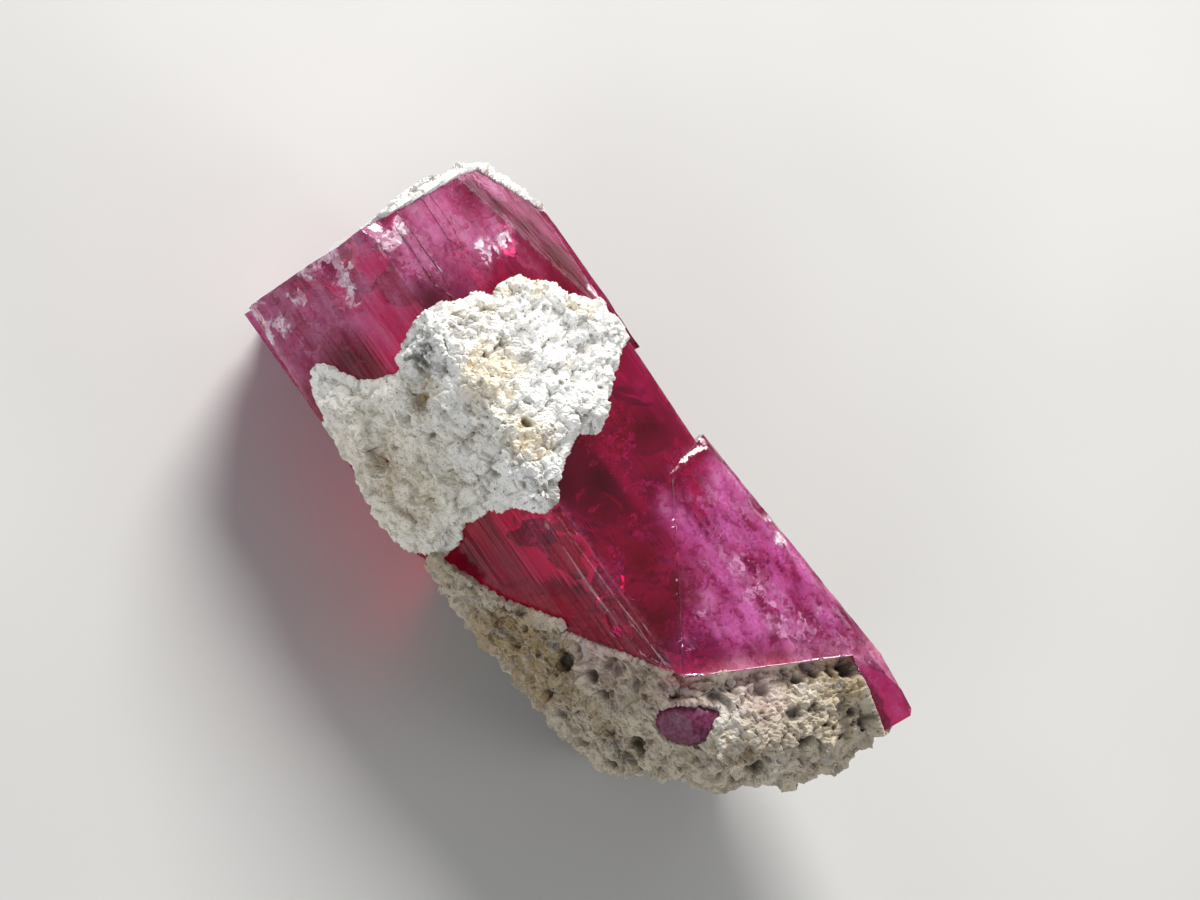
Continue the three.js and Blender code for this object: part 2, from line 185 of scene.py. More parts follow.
# %% Floor, sky and lamps
LAMPS = (  # name, direction from the crystal, distance and size in mm, watts, colour
    ("key_lamp", (-0.75, 0.65, 0.8), 110, 55, 0.17, (1, 0.98, 0.95)),
    ("fill_lamp", (0.1, -0.95, 0.5), 120, 80, 0.042, (0.94, 0.97, 1)),
    ("side_lamp", (0.95, 0.6, 0.5), 110, 60, 0.03, (1, 0.98, 0.96)),
    ("back_lamp", (-0.5, 0.9, 0.4), 120, 90, 0.025, (0.96, 0.98, 1)),
)
for name, direction, distance, size, watts, colour in LAMPS:
    data = bpy.data.lights.new(name, "AREA")
    data.shape = "DISK"
    data.size = size * MM
    data.energy = watts
    data.color = colour
    lamp = bpy.data.objects.new(name, data)
    towards = Vector(direction).normalized()
    lamp.location = (at(0, 0, 0) + towards * distance) * MM
    lamp.rotation_mode = "QUATERNION"
    lamp.rotation_quaternion = towards.to_track_quat("Z", "Y")
    bpy.context.scene.collection.objects.link(lamp)

SKY_COLOUR = (0.93, 0.96, 1, 1)
SKY_STRENGTH = 0.22
FLOOR_SIDE = 2  # m, so that it reaches past every view
bpy.context.scene.view_settings.view_transform = "Standard"
world = bpy.data.worlds.new("studio")
world.use_nodes = True
world.node_tree.nodes["Background"].inputs["Color"].default_value = SKY_COLOUR
world.node_tree.nodes["Background"].inputs["Strength"].default_value = SKY_STRENGTH
bpy.context.scene.world = world

bpy.ops.mesh.primitive_plane_add(size=FLOOR_SIDE)
floor = bpy.context.object
floor.name = "floor"
print(len(LAMPS), "lamps,", round(sum(lamp[4] for lamp in LAMPS), 3), "W in all")

# %% [markdown]
# ## Repeatable noise
# Rock and crystal are irregular, yet every run must give the same mesh. So the randomness comes from
# a number worked out from each whole-numbered cell of space, never from a clock.

# %% Noise
CELL_FACTORS = np.array([374761393, 668265263, 1274126177])  # large odd numbers that stir the bits
SEED_FACTOR = 69069
LOW_BITS = 0xFFFFFFFF


def chance(cells, seed):
    """A repeatable number from 0 to 1 for each cell."""
    mixed = cells @ CELL_FACTORS + seed * SEED_FACTOR
    mixed = (mixed ^ (mixed >> 13)) * 1103515245 & LOW_BITS
    mixed = (mixed ^ (mixed >> 16)) * 2246822519 & LOW_BITS
    return ((mixed ^ (mixed >> 15)) & LOW_BITS) / LOW_BITS


def swells(points, size, seed):
    """Smooth noise from -1 to 1, with bumps about `size` mm apart."""
    scaled = points / size
    cell = np.floor(scaled).astype(np.int64)
    part = scaled - cell
    ease = part * part * (3 - 2 * part)
    total = np.zeros(len(points))
    for corner in np.ndindex(2, 2, 2):
        corner = np.array(corner)
        weight = np.prod(np.where(corner == 1, ease, 1 - ease), axis=1)
        total += weight * chance(cell + corner, seed)
    return 2 * total - 1


def octaves(points, size, count, seed):
    """Noise from -1 to 1 whose bumps carry smaller bumps, each half the size of the last."""
    total = sum(swells(points, size / 2 ** k, seed + k) / 2 ** k for k in range(count))
    return total / (2 - 2 ** (1 - count))


def grains(points, size, seed):
    """Packs space with grains about `size` mm wide. Gives each point's distance from the middle of
    its grain and from that grain's border, and the grain's own middle and cell."""
    cell = np.floor(points / size).astype(np.int64)
    near = np.full(len(points), np.inf)
    second = np.full(len(points), np.inf)
    middle = np.zeros_like(points)
    owner = np.zeros_like(cell)
    for step in np.ndindex(3, 3, 3):
        other = cell + np.array(step) - 1
        jitter = np.stack([chance(other, seed + axis) for axis in range(3)], axis=1)
        spot = (other + 0.15 + 0.7 * jitter) * size
        away = np.linalg.norm(points - spot, axis=1)
        closer = away < near
        second = np.where(closer, near, np.minimum(second, away))
        near = np.where(closer, away, near)
        middle[closer] = spot[closer]
        owner[closer] = other[closer]
    return near, second - near, middle, owner


def ramp(values, low, high):
    """0 below low, 1 above high, and an even slope between."""
    return np.clip((values - low) / (high - low), 0, 1)


def spots(points, marks):
    """1 in the middle of each mark, falling to 0 at its radius. A mark is a pixel and a radius in mm."""
    total = np.zeros(len(points))
    for x, y, radius in marks:
        away = np.linalg.norm(points - np.array(under((x, y), 0)[0]), axis=1)
        total = np.maximum(total, 1 - ramp(away, 0, radius))
    return total


# %% [markdown]
# ## Meshes from arrays
# The same few steps end every piece: scale to metres, take a finish, ride on the part, and hide the
# imported solid it stands for.

# %% Finish a piece
BOX_SLACK = 0.002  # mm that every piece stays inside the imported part's box


def points_of(mesh, what="co"):
    """A mesh's points as an array, or its normals when asked for "normal"."""
    flat = np.zeros(3 * len(mesh.vertices))
    mesh.vertices.foreach_get(what, flat)
    return flat.reshape(-1, 3)


def set_points(mesh, points):
    mesh.vertices.foreach_set("co", points.astype(np.float32).ravel())
    mesh.update()


def remember(mesh, name, values):
    """Keeps one number for each point of a mesh, for its material to read."""
    layer = mesh.attributes.new(name, "FLOAT", "POINT")
    layer.data.foreach_set("value", np.asarray(values, np.float32))


def stay_in_box(points):
    """Points in mm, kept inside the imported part's own box."""
    low = np.array(CAD_BOX[0]) / MM + BOX_SLACK
    high = np.array(CAD_BOX[1]) / MM - BOX_SLACK
    return np.clip(points, low, high)


def finished(name, mesh, material, slot, *nodes):
    """Adds a piece to the scene from its mesh in mm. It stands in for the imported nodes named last."""
    mesh.transform(Matrix.Scale(MM, 4))
    mesh.name = name
    mesh.materials.clear()
    mesh.materials.append(material)
    piece = bpy.data.objects.new(name, mesh)
    bpy.context.scene.collection.objects.link(piece)
    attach(piece, "root")
    if nodes:
        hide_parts(*nodes)
    print(name, "has", sum(len(p.vertices) - 2 for p in mesh.polygons), "triangles")


# %% [markdown]
# ## Building materials from nodes
# Each finish is a small network. These helpers add one node and join it up, so that the finishes
# below read as recipes. Texture coordinates are turned into millimetres first.

# %% Node helpers


class Recipe:
    """A material under construction."""

    def __init__(self, name):
        self.material = bpy.data.materials.new(name)
        self.material.use_nodes = True
        self.tree = self.material.node_tree
        self.shader = self.tree.nodes["Principled BSDF"]
        coordinates = self.tree.nodes.new("ShaderNodeTexCoord").outputs["Object"]
        self.place = self.scaled(coordinates, (1 / MM, 1 / MM, 1 / MM))

    def add(self, kind, settings=None, **inputs):
        """A new node. An input is given by its name, or by its number after an underscore."""
        node = self.tree.nodes.new("ShaderNode" + kind)
        for key, value in (settings or {}).items():
            setattr(node, key, value)
        for key, value in inputs.items():
            socket = node.inputs[int(key[1:]) if key[1:].isdigit() else key.replace("_", " ")]
            self.feed(socket, value)
        return node

    def feed(self, socket, value):
        """Joins another node's output to a socket, or sets the socket's own value."""
        if isinstance(value, bpy.types.NodeSocket):
            self.tree.links.new(value, socket)
        elif isinstance(value, tuple) and len(value) == 3 and len(socket.default_value) == 4:
            socket.default_value = (*value, 1)
        else:
            socket.default_value = value

    def vectors(self, operation, a, b):
        return self.add("VectorMath", {"operation": operation}, _0=a, _1=b).outputs[0]

    def scaled(self, vector, by):
        return self.vectors("MULTIPLY", vector, by)

    def noise(self, size, detail=2.0, distortion=0.0, place=None):
        """Noise from 0 to 1 with features about `size` mm wide."""
        where = place or self.place
        shape = {"Detail": detail, "Distortion": distortion}
        return self.add("TexNoise", None, Vector=where, Scale=1 / size, **shape).outputs["Fac"]

    def cells(self, size, place=None):
        """Each cell's own random number, for cells about `size` mm wide."""
        node = self.add("TexVoronoi", None, Vector=place or self.place, Scale=1 / size)
        return self.add("SeparateColor", None, Color=node.outputs["Color"]).outputs[0]

    def warped(self, size, by):
        """The place pushed about by mostly less than `by` mm, in swirls about `size` mm wide."""
        swirl = self.add("TexNoise", None, Vector=self.place, Scale=1 / size).outputs["Color"]
        push = self.vectors("SUBTRACT", swirl, (0.5, 0.5, 0.5))
        push = self.scaled(push, (4 * by, 4 * by, 4 * by))
        return self.vectors("ADD", self.place, push)

    def attribute(self, name):
        """The number that the mesh's points remember under a name."""
        return self.add("Attribute", {"attribute_name": name}).outputs["Fac"]

    def ramp(self, value, low, high, start=0.0, end=1.0):
        """An even slope from start, where the value is low, to end, where it is high."""
        limits = {"From_Min": low, "From_Max": high, "To_Min": start, "To_Max": end}
        return self.add("MapRange", None, Value=value, **limits).outputs["Result"]

    def maths(self, operation, a, b):
        return self.add("Math", {"operation": operation}, _0=a, _1=b).outputs[0]

    def product(self, a, b):
        return self.maths("MULTIPLY", a, b)

    def larger(self, a, b):
        return self.maths("MAXIMUM", a, b)

    def blend(self, share, a, b):
        """Colour a where the share is 0, and colour b where it is 1."""
        return self.add("Mix", {"data_type": "RGBA"}, _0=share, _6=a, _7=b).outputs[2]

    def bump(self, height, distance):
        """Tilts the surface by a height from 0 to 1 that stands for `distance` mm."""
        node = self.add("Bump", None, Height=height, Distance=distance * MM)
        self.tree.links.new(node.outputs["Normal"], self.shader.inputs["Normal"])

    def set(self, **inputs):
        """Feeds the shader's own sockets."""
        for key, value in inputs.items():
            self.feed(self.shader.inputs[key.replace("_", " ")], value)


# %% [markdown]
# The floor is matt and nearly plain, with a faint mottle, as of heavy card.

# %% Floor finish
card = Recipe("pale_card")
mottle = card.ramp(card.noise(9.0), 0.3, 0.7)
card.set(Base_Color=card.blend(mottle, (0.56, 0.555, 0.545), (0.6, 0.595, 0.585)))
card.set(Roughness=0.9)
floor.data.materials.append(card.material)

# %% [markdown]
# ## The rock
# The rock is rhyolite: a mass of quartz and feldspar grains, 0.1 to 0.2 mm wide, that glitters like
# damp sugar. It could be a bump map on the plain solid, but grains this large show in the outline. So
# each lump is rebuilt as an even mesh of tiny squares, and its points are moved: every grain is a
# small flat facet with a tilt of its own, parted from the next by a crease, with pits between lumps.
#
# Where the rock meets the beryl, its points move the other way, just into the crystal. Grown rock has
# no air behind it, and an air gap would shine like a mirror through the crystal.

# %% Rebuild a lump of rock
ROCK_SQUARE = 0.03  # mm
LUMP = 0.34  # mm, the widest facets, which are clumps of grains
GRAIN = 0.15  # mm
CHIP = 0.075  # mm, the facets on one grain
ROCK_DROP = 0.035  # mm that the surface is taken in, to make room for what stands out
BOND = 0.075  # mm from the solid's surface to where the rock has grown into the beryl
TOUCHING = 0.05  # mm, rock nearer to the beryl than this is grown onto it
OPEN = 0.1  # mm, rock farther from the beryl than this has its full relief
CUT_END = (4.7, 5.5)  # mm along x, between which the foot's flat end gets its broken relief


def even_mesh(node, square):
    """The node's shape in mm, as an even mesh of squares."""
    rough = bpy.data.objects.new("rough", mesh_in_mm(node))
    bpy.context.scene.collection.objects.link(rough)
    remesh = rough.modifiers.new("remesh", "REMESH")
    remesh.mode = "VOXEL"
    remesh.voxel_size = square
    graph = bpy.context.evaluated_depsgraph_get()
    mesh = bpy.data.meshes.new_from_object(rough.evaluated_get(graph))
    bpy.data.objects.remove(rough)
    return mesh


def facets(points, size, seed, tilt):
    """Where every grain is a facet with its own tilt and height: how far each point stands out, a
    number of its grain's own, and 1 in the creases between grains."""
    _, border, middle, owner = grains(points, size, seed)
    lean = np.stack([chance(owner, seed + 10 + axis) for axis in range(3)], axis=1) - 0.5
    level = chance(owner, seed + 20) - 0.5
    height = tilt * np.sum(lean * (points - middle), axis=1) + 0.3 * size * level
    crease = 1 - ramp(border, 0, 0.16 * size)
    return height - 0.12 * size * crease, chance(owner, seed + 30), crease


def pits(points, spacing, radius, depth, share, seed):
    """Round pits in a share of the cells, as depths."""
    near, _, _, owner = grains(points, spacing, seed)
    chosen = chance(owner, seed + 5) < share
    wide = radius * (0.5 + 0.8 * chance(owner, seed + 6))
    return np.where(chosen, depth * (1 - ramp(near / wide, 0.3, 1)), 0)


def rock_surface(node, square, lump_height, pit_share, seed, stains):
    """The rock's mesh in mm, with numbers for each point's grain, how deep it lies for brown dirt and
    painted shade, and its stains.
    """
    mesh = even_mesh(node, square)
    points = points_of(mesh)
    from_crystal = np.array([CRYSTAL_TREE.find_nearest(Vector(p))[3] for p in points])
    exposed = ramp(from_crystal, TOUCHING, OPEN)
    warped = points + 0.03 * np.stack([swells(points, 0.1, seed + k) for k in range(3)], axis=1)
    coarse, _, _ = facets(warped, LUMP, seed + 40, 0.5)
    fine, grain, crease = facets(warped, GRAIN, seed + 80, 0.75)
    tiny, _, _ = facets(points, CHIP, seed + 120, 0.8)
    holes = pits(warped, 0.45, 0.17, 0.2, pit_share, seed + 160)
    holes = np.maximum(holes, pits(warped, 0.24, 0.08, 0.1, 0.8 * pit_share, seed + 200))
    swelling = lump_height * (swells(points, 0.5, seed + 240) + 0.5 * swells(points, 0.24, seed + 250))
    height = swelling + coarse + fine + 0.8 * tiny - holes - ROCK_DROP
    hollows = 0.16 + 0.16 * swells(points, 1.1, seed + 260) + 0.1 * swells(points, 0.5, seed + 270)
    height -= ramp(points[:, 0], *CUT_END) * hollows
    bonded = BOND + 0.3 * fine
    height = np.where(from_crystal < TOUCHING, bonded, bonded + exposed * (height - bonded))
    set_points(mesh, stay_in_box(points + points_of(mesh, "normal") * height[:, None]))
    # Painted shade, with some brown dirt: low places, the creases in them and pits are darkened.
    low_lying = ramp(-(swelling + coarse - 1.6 * holes), -0.01, 0.16)
    remember(mesh, "hollow_dirt_and_shade", np.clip(0.55 * low_lying + 0.5 * crease * low_lying + 4 * holes, 0, 1))
    remember(mesh, "grain", grain)
    remember(mesh, "dull", (7 * grain) % 1)
    remember(mesh, "patches", octaves(points, 1.3, 4, seed + 280))
    for stain in stains:
        remember(mesh, stain[0], spots(points, stain[-1]))
    return mesh


# %% [markdown]
# The rock's colour is not one white. Clean grains are bright, others are grey and half clear. Iron
# stains lie in patches, and small black grains are scattered about. Pits, creases and low places are
# darkened to brown: partly brown dirt, partly painted shade. Larger stains are soft spots on the mesh.
# Most are broken up by fine noise, so that they soak some grains and miss others.

# %% Rock finish
DULL_GRAIN = (0.36, 0.34, 0.32)
SPECK = (0.13, 0.12, 0.11)


def rock_finish(name, bright, grey, rusty, pit_brown_and_shade, rusty_share, speck_share, stains):
    rock = Recipe(name)
    grain = rock.attribute("grain")
    hollow_dirt_and_shade = rock.attribute("hollow_dirt_and_shade")
    colour = rock.blend(rock.ramp(grain, 0.45, 0.95, 0.0, 0.75), bright, grey)
    patches = rock.ramp(rock.attribute("patches"), 0.45 - 2 * rusty_share, 0.75 - 2 * rusty_share)
    fine = rock.noise(0.16, 3.0)
    mottle = rock.product(patches, rock.ramp(fine, 0.3, 0.65, 0.35, 1.0))
    colour = rock.blend(mottle, colour, rusty)
    # Painted shade and brown dirt in the hollows.
    colour = rock.blend(rock.ramp(hollow_dirt_and_shade, 0.25, 1.0, 0.0, 0.92), colour, pit_brown_and_shade)
    dull = rock.ramp(rock.attribute("dull"), 1 - 3 * speck_share, 1 - 2.5 * speck_share, 0.0, 0.6)
    colour = rock.blend(dull, colour, DULL_GRAIN)
    specks = rock.ramp(rock.noise(0.045, 2.0), 0.7 - speck_share, 0.73 - speck_share, 0.0, 0.9)
    colour = rock.blend(specks, colour, SPECK)
    ragged = rock.ramp(fine, 0.35, 0.65)
    for stain, is_ragged, low, high, most, tint, _ in stains:
        share = rock.attribute(stain)
        if is_ragged:
            share = rock.product(share, ragged)
        colour = rock.blend(rock.ramp(share, low, high, 0.0, most), colour, tint)
    rock.set(Base_Color=colour)
    rock.set(Roughness=rock.ramp(grain, 0.0, 0.35, 0.35, 0.9))
    rock.set(Specular_IOR_Level=0.45)
    rock.bump(rock.noise(0.035, 2.0), 0.012)
    return rock.material


# %% [markdown]
# The patch on the ridge is the whitest. It turns cream towards the lower left, and has a sooty spot
# near its upper left edge and rusty pits lower down.

# %% The patch over the ridge
PATCH_STAINS = (  # name, is it ragged, shares where it starts and is full, strength, colour, marks
    ("cream", False, 0.1, 0.7, 0.55, (0.76, 0.68, 0.53), ((395, 480, 2.4),)),
    ("brown", True, 0.05, 0.95, 1.0, (0.42, 0.33, 0.25),
     ((530, 380, 0.3), (352, 408, 0.3), (497, 452, 0.3), (468, 400, 0.3))),
    ("rust", True, 0.05, 0.868, 1.0, (0.5, 0.36, 0.18),
     ((432, 385, 0.6), (425, 492, 0.6), (398, 470, 0.6))),
    ("soot", True, 0.05, 0.35, 1.0, (0.17, 0.18, 0.16), ((433, 350, 0.55),)),
)
patch_finish = rock_finish("white_rhyolite", (0.95, 0.945, 0.92), (0.82, 0.8, 0.76),
                           (0.82, 0.72, 0.54), (0.26, 0.19, 0.12), 0.12, 0.04, PATCH_STAINS)
finished("rock_patch_grains", rock_surface("rock_patch", ROCK_SQUARE, 0.08, 0.2, 3, PATCH_STAINS),
         patch_finish, "white_rhyolite", "rock_patch")

# %% [markdown]
# The crown on the grown end is the same white rock, thinner and cleaner.

# %% The crown on the grown end
crown_finish = rock_finish("crown_rhyolite", (0.84, 0.83, 0.81), (0.66, 0.63, 0.62),
                           (0.8, 0.72, 0.6), (0.4, 0.3, 0.27), 0.02, 0.02, ())
finished("rock_crown_grains", rock_surface("rock_crown", ROCK_SQUARE, 0.03, 0.15, 11, ()),
         crown_finish, "white_rhyolite", "rock_crown")

# %% [markdown]
# The foot is dirtier and darker: beige and grey, partly from its own dirt and partly as painted shade. It
# is full of brown pits, with white lumps here and there and a pink tinge next to the beryl.

# %% The foot on the broken end
FOOT_SQUARE = 1.3 * ROCK_SQUARE  # mm, wider because the foot is so much larger
FOOT_STAINS = (
    ("white", True, 0.05, 0.95, 1.0, (0.8, 0.78, 0.74),
     ((505, 640, 0.6), (560, 672, 0.5), (765, 700, 0.75), (815, 685, 0.75), (722, 715, 0.75),
      (790, 770, 0.75))),
    ("brown", True, 0.05, 0.868, 1.0, (0.22, 0.15, 0.07),
     ((705, 695, 0.5), (765, 712, 0.5), (795, 745, 0.5), (757, 760, 0.5), (640, 690, 0.5),
      (612, 700, 0.5))),
    ("pink", False, 0.0, 1.0, 0.45, (0.66, 0.42, 0.46),
     ((600, 648, 0.9), (684, 684, 0.9), (760, 676, 0.9), (840, 662, 0.9))),
)
# Darker colours than the patch's: partly the foot's own dirt, partly painted shade.
foot_finish = rock_finish("grey_rhyolite", (0.57, 0.5, 0.39), (0.34, 0.29, 0.22),
                          (0.4, 0.29, 0.16), (0.06, 0.04, 0.025), 0.2, 0.05, FOOT_STAINS)
finished("rock_foot_grains", rock_surface("rock_foot", FOOT_SQUARE, 0.1, 0.7, 23, FOOT_STAINS),
         foot_finish, "grey_rhyolite", "rock_foot")

# %% [markdown]
# ## The beryl
# The crystal keeps its flat faces and sharp edges, so it isn't remeshed. Evenly spaced planes cut its
# faces into small fields instead, and the new points carry very low relief: growth lines along the
# axis, and shallow dimples. The lines need closer cuts across the axis than along it.

# %% Cut the crystal's faces
CUT_SPACING = (0.085, 0.07, 0.07)  # mm between the planes along x, y and z
SNAP = 0.001  # mm, points this near to a plane are taken to lie on it


def cut_mesh(node):
    """A node's mesh, in mm, with its faces cut into small ones that lie in the same places."""
    mesh = mesh_in_mm(node)
    work = bmesh.new()
    work.from_mesh(mesh)
    corners = points_of(mesh)
    for axis, spacing in enumerate(CUT_SPACING):
        facing = Vector([float(axis == other) for other in range(3)])
        for place in np.arange(corners[:, axis].min() + spacing / 2, corners[:, axis].max(), spacing):
            whole = work.verts[:] + work.edges[:] + work.faces[:]
            bmesh.ops.bisect_plane(work, geom=whole, dist=SNAP, plane_co=facing * place, plane_no=facing)
    bmesh.ops.dissolve_degenerate(work, dist=SNAP, edges=work.edges)
    bmesh.ops.triangulate(work, faces=[f for f in work.faces if len(f.verts) > 3])
    work.to_mesh(mesh)
    work.free()
    return mesh


# %% [markdown]
# Cracks inside the beryl are thin gaps of air. Seen steeply they are clear, and seen at a slant they
# flash like mirrors, which no surface colour can do. Each one is a wavy lens-shaped hollow, less than
# a hundredth of a millimetre thick at its rim, that belongs to the crystal's own mesh with its faces
# turned inwards.

# %% Cracks
RINGS = 5
SPOKES = 22
CRACK_THICKNESS = 0.02  # mm in the middle
RIM_THICKNESS = 0.2  # share of that at the rim


def wavy_lens(middle, normal, wide, tall, seed):
    """The points of a thin closed lens: its upper side, from the middle out, then its lower side."""
    turn = 6.28 * chance(np.array([[seed, 7, 9]]), 1)[0]
    side = Matrix.Rotation(turn, 3, normal) @ normal.orthogonal().normalized()
    other = normal.cross(side)
    ragged = 0.75 + 0.4 * chance(np.array([[spoke // 2, seed, 3] for spoke in range(SPOKES)]), 5)
    points = [middle + normal * CRACK_THICKNESS / 2]
    for ring in range(1, RINGS + 1):
        for spoke, uneven in enumerate(ragged):
            angle = 2 * math.pi * spoke / SPOKES
            reach = ring / RINGS * (uneven if ring == RINGS else 0.5 + 0.5 * uneven)
            flat = side * wide * reach * math.cos(angle) + other * tall * reach * math.sin(angle)
            lift = CRACK_THICKNESS / 2 * (1 - (ring / RINGS) ** 2)
            points.append(middle + flat + normal * lift)
    upper = np.array(points)
    lower = upper - np.array(normal) * CRACK_THICKNESS
    rim = slice(1 + (RINGS - 1) * SPOKES, None)
    lower[rim] = upper[rim] - np.array(normal) * CRACK_THICKNESS * RIM_THICKNESS
    both = np.concatenate([upper, lower])
    wave = 0.09 * wide * swells(both - np.array(normal) * 7, 0.6 * wide, seed)
    return both + np.array(normal) * wave[:, None]


def lens_faces():
    """The faces of such a lens, turned towards its inside."""
    count = 1 + RINGS * SPOKES
    faces = []
    for spoke in range(SPOKES):
        after = (spoke + 1) % SPOKES
        faces.append((0, 1 + after, 1 + spoke))
        faces.append((count, count + 1 + spoke, count + 1 + after))
        for ring_start in range(1, count, SPOKES):
            a = ring_start + spoke
            b = ring_start + after
            if ring_start + SPOKES < count:
                faces.append((a, b, b + SPOKES, a + SPOKES))
                faces.append((count + a, count + a + SPOKES, count + b + SPOKES, count + b))
        faces.append((a, b, count + b, count + a))
    return faces


CRACKS = (  # pixel, depth in mm, tilt in radians, half width and half height in mm
    ((330, 258), 0.25, 0.5, 0.42, 0.26), ((346, 282), 0.3, 0.4, 0.2, 0.4),
    ((388, 232), 0.3, 0.6, 0.2, 0.4), ((300, 300), 0.35, 0.7, 0.35, 0.3),
    ((488, 256), 0.3, 0.5, 0.3, 0.22), ((506, 238), 0.4, 0.2, 0.35, 0.25),
    ((430, 262), 0.7, 0.6, 0.5, 0.35), ((555, 560), 0.5, 0.5, 0.45, 0.3),
    ((598, 592), 0.5, 0.8, 0.4, 0.3), ((520, 545), 0.8, 0.8, 0.5, 0.35),
    ((640, 610), 0.6, 0.3, 0.35, 0.4), ((717, 525), 0.25, 0.5, 0.28, 0.2),
    ((690, 500), 0.4, 0.5, 0.4, 0.3), ((742, 560), 0.3, 0.7, 0.35, 0.25),
    ((700, 590), 0.4, 0.6, 0.5, 0.3), ((790, 600), 0.35, 0.6, 0.35, 0.3),
    ((610, 500), 0.7, 0.7, 0.5, 0.3), ((660, 430), 0.6, 0.4, 0.45, 0.3),
    ((640, 390), 0.6, 0.9, 0.35, 0.3),
)


def add_cracks(work):
    """Adds the cracks to a mesh that is being worked on, each turned further round than the last."""
    for index, (pixel, depth, tilt, wide, tall) in enumerate(CRACKS):
        middle, outwards = under(pixel, depth)
        lean = Matrix.Rotation(tilt, 3, LONG.cross(outwards).normalized())
        swing = Matrix.Rotation(2.4 * index, 3, outwards)
        normal = (swing @ lean @ outwards).normalized()
        made = [work.verts.new(point) for point in wavy_lens(middle, normal, wide, tall, index)]
        for face in lens_faces():
            work.faces.new([made[corner] for corner in face])


print(len(CRACKS), "cracks of", len(lens_faces()), "faces each")


# %% [markdown]
# Which parts of the crystal are cloudy, pink, worn, frosted or lit is kept as numbers on its points, and
# the finish reads them. The pale marks are partly frosting and partly painted highlights: flashes on
# fractures and on the growth step's edge, and a sheen on a face. The larger zones are outlines or planes
# in the crystal's own directions, and the smaller marks are placed by pixels.

# %% Zones of the crystal
CLOUDY_ZONE = (  # its outline in mm, along and across
    (0.25, 1.7), (0.3, 2.9), (5.6, 3.0), (5.6, 2.1), (4.2, 1.9), (3.2, 0.75), (2.6, 0.2), (2.0, 0.45),
    (1.2, 0.8), (0.7, 1.05),
)
KNOB = at(3.45, -0.27, 2.22)  # the middle of the knob that shows through the foot
DARK_MARKS = (  # pixel, radius in mm
    (474, 190, 0.35), (500, 208, 0.4), (526, 228, 0.45), (552, 252, 0.45), (572, 280, 0.4),
    (350, 360, 0.6), (430, 300, 0.5), (560, 480, 0.5), (640, 560, 0.45), (660, 620, 0.5),
    (600, 480, 0.5), (650, 420, 0.5), (470, 560, 0.4),
)
# Partly frosting, partly painted highlights: flashes on fractures and the step's edge, and a sheen on a
# face.
PALE_AND_HIGHLIGHT_MARKS = (
    (325, 258, 0.42), (308, 266, 0.34), (343, 275, 0.32), (352, 298, 0.24), (388, 236, 0.3),
    (375, 216, 0.2), (400, 224, 0.24), (296, 300, 0.26), (258, 316, 0.5), (275, 330, 0.4),
    (488, 252, 0.3), (505, 240, 0.2), (596, 290, 0.28), (705, 440, 0.1), (698, 446, 0.1),
    (690, 453, 0.1), (683, 460, 0.1), (677, 467, 0.1), (782, 538, 0.2), (770, 520, 0.16),
)
BREAK_PLANES = (  # the two that meet the front ridge: facing, and a place on it
    ((1, -1.36, -0.1), (2.81, 0, EDGE)),
    ((1, -0.8, -0.4), (2.81, 0, EDGE)),
)
SHARP = 0.3  # radians, faces that meet at more than this have an edge between them
EDGE_STEP = 0.04  # mm between the places along an edge that distances are measured from
EDGE_REACH = 0.12  # mm from an edge that the crystal looks worn


def depth_in(outline, x, y):
    """How far points lie inside an outline, and below zero outside it."""
    inside = np.zeros(len(x), bool)
    nearest = np.full(len(x), np.inf)
    for (ax, ay), (bx, by) in zip(outline, outline[1:] + outline[:1]):
        along = ((x - ax) * (bx - ax) + (y - ay) * (by - ay)) / ((bx - ax) ** 2 + (by - ay) ** 2)
        along = np.clip(along, 0, 1)
        gap = np.hypot(x - ax - along * (bx - ax), y - ay - along * (by - ay))
        nearest = np.minimum(nearest, gap)
        if ay != by:
            crossing = ((ay > y) != (by > y)) & (x < ax + (y - ay) * (bx - ax) / (by - ay))
            inside ^= crossing
    return np.where(inside, nearest, -nearest)


def edge_distance(mesh, points):
    """How far each point lies from the nearest sharp edge of a mesh, in mm."""
    work = bmesh.new()
    work.from_mesh(mesh)
    marks = []
    for edge in work.edges:
        if len(edge.link_faces) == 2 and edge.calc_face_angle() > SHARP:
            steps = max(1, round(edge.calc_length() / EDGE_STEP))
            a, b = edge.verts
            marks.extend(a.co.lerp(b.co, step / steps) for step in range(steps + 1))
    work.free()
    tree = KDTree(len(marks))
    for index, mark in enumerate(marks):
        tree.insert(mark, index)
    tree.balance()
    return np.array([tree.find(point)[2] for point in points])


def beyond_break(points):
    """How far points lie beyond the broken end's planes, in mm, and below zero on the near side."""
    beyond = np.full(len(points), -np.inf)
    for facing, place in BREAK_PLANES:
        facing = np.array(facing) / np.linalg.norm(facing)
        beyond = np.maximum(beyond, (own_places(points) - np.array(place)) @ facing)
    return beyond


def zones(points):
    """The share of each zone at each point of the solid crystal, by the zone's name."""
    along, across, out = own_places(points).T
    blur = 0.25 * swells(points, 0.6, 304) + 0.12 * swells(points, 0.22, 305)
    beyond = beyond_break(points)
    cloudy = ramp(depth_in(CLOUDY_ZONE, along, across) + blur, -0.05, 0.55)
    rim = ramp(beyond + 0.3 * blur, -0.26, -0.03) * ramp(across, -0.3, 0.3) * ramp(out, 0, 0.6)
    broken = ramp(along - 1.36 * across + 2 * blur, 1.9, 3.2) * ramp(-across, -0.3, 0.1)
    return {
        "cloudy": cloudy * ramp(out, -0.6, 0.6),
        "upper": ramp(-along + 1.6 * blur, 3.3, 4.6),
        "broken": broken,
        "knob": 1 - ramp(np.linalg.norm(points - np.array(KNOB), axis=1), 0.6, 0.75),
        "rim": rim * (1 - 0.75 * ramp(beyond, 0.02, 0.3)),
    }


